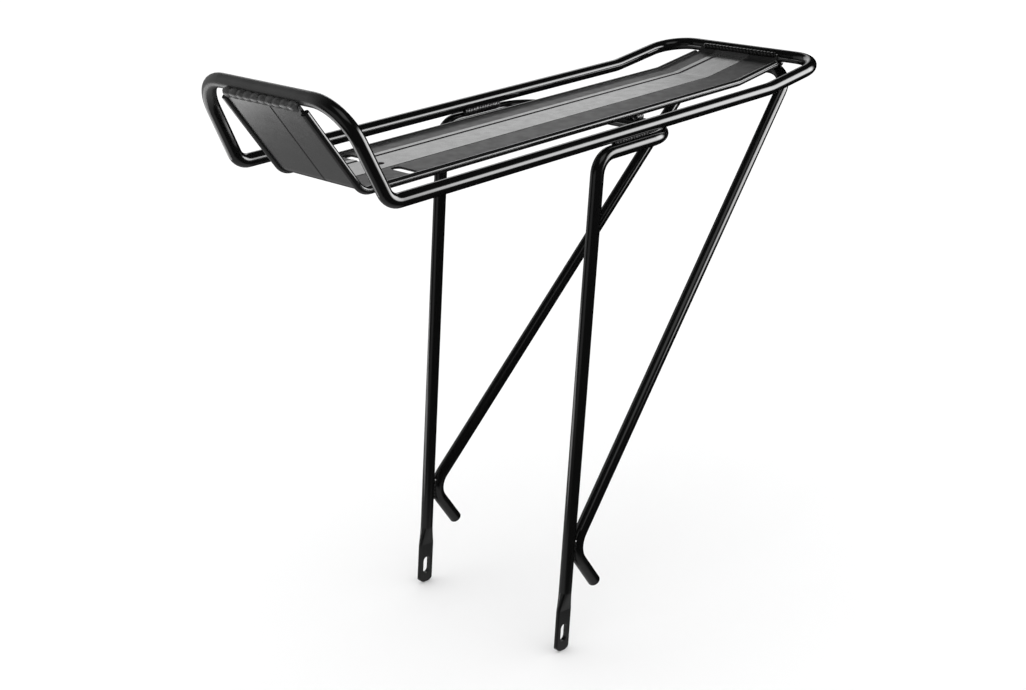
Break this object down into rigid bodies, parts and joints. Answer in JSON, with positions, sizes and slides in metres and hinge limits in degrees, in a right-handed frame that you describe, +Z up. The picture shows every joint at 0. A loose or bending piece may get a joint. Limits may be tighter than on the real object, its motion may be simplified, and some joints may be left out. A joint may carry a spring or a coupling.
{
  "type": "rear bicycle rack",
  "caption": "Black welded aluminium rear rack: closed rail loop round a narrow extruded deck, slotted leg frame and rear strut frame with pannier pegs.",
  "frame": {"origin": "midway between the centres of the two foot slots, on the rack's plane of symmetry", "axes": "+X to the bicycle's left, +Y to the bicycle's rear, +Z up, with the rails and the deck level"},
  "size_m": [0.1644, 0.485, 0.4423],
  "materials": {
    "tube_paint": "gloss black powder coat on bent aluminium tube",
    "deck_paint": "semi-gloss black coat on extruded aluminium",
    "weld_paint": "gloss black coat over rippled weld metal",
    "plug_plastic": "black moulded plastic"
  },
  "bodies": {
    "root": {"outer_loop": "tube_paint", "deck_plate": "deck_paint", "leg_frame": "tube_paint", "strut_frame": "tube_paint", "front_deck_weld": "weld_paint", "rear_deck_weld": "weld_paint", "left_rail_weld": "weld_paint", "right_rail_weld": "weld_paint", "left_bead_weld": "weld_paint", "right_bead_weld": "weld_paint", "left_knee_weld": "weld_paint", "right_knee_weld": "weld_paint", "left_tail_weld": "weld_paint", "right_tail_weld": "weld_paint", "left_peg_plug": "plug_plastic", "right_peg_plug": "plug_plastic"}
  },
  "joints": []
}
